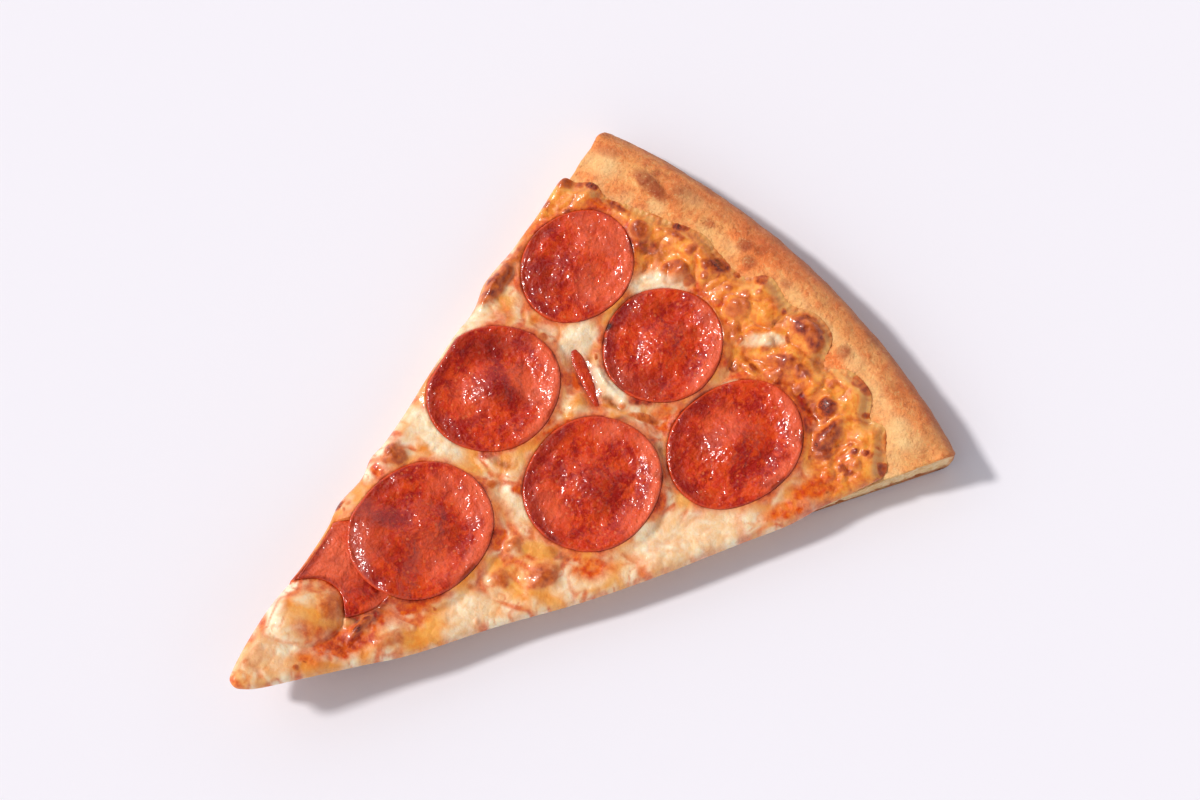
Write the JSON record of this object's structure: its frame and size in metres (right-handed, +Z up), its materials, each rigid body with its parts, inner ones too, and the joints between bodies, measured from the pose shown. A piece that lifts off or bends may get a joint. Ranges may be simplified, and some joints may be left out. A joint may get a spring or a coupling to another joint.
{
  "type": "pepperoni pizza slice",
  "caption": "Wedge of baked pizza with a raised golden rim, tomato sauce, melted browned cheese and cupped pepperoni, its thin tip curled up off the surface.",
  "frame": {"origin": "centre of the slice's box in plan, on the surface that the slice lies on", "axes": "+X from the slice's tip to the middle of its rim, +Z up through the toppings, +Y to the left as seen looking from the tip to the rim"},
  "size_m": [0.1768, 0.1175, 0.0197],
  "materials": {
    "crust": "baked bread, golden tan with brown toasting, pale crumb at the cuts",
    "tomato_sauce": "wet tomato sauce with oil",
    "cheese": "melted mozzarella, milky to golden, oily, with brown blisters",
    "pepperoni": "oily baked pepperoni, red with fat specks and darker edges"
  },
  "bodies": {
    "root": {"crust": "crust", "tomato_sauce": "tomato_sauce", "cheese": "cheese", "pepperoni_1": "pepperoni", "pepperoni_2": "pepperoni", "pepperoni_3": "pepperoni", "pepperoni_4": "pepperoni", "pepperoni_5": "pepperoni", "pepperoni_6": "pepperoni", "pepperoni_7": "pepperoni", "pepperoni_8": "pepperoni"}
  },
  "joints": []
}
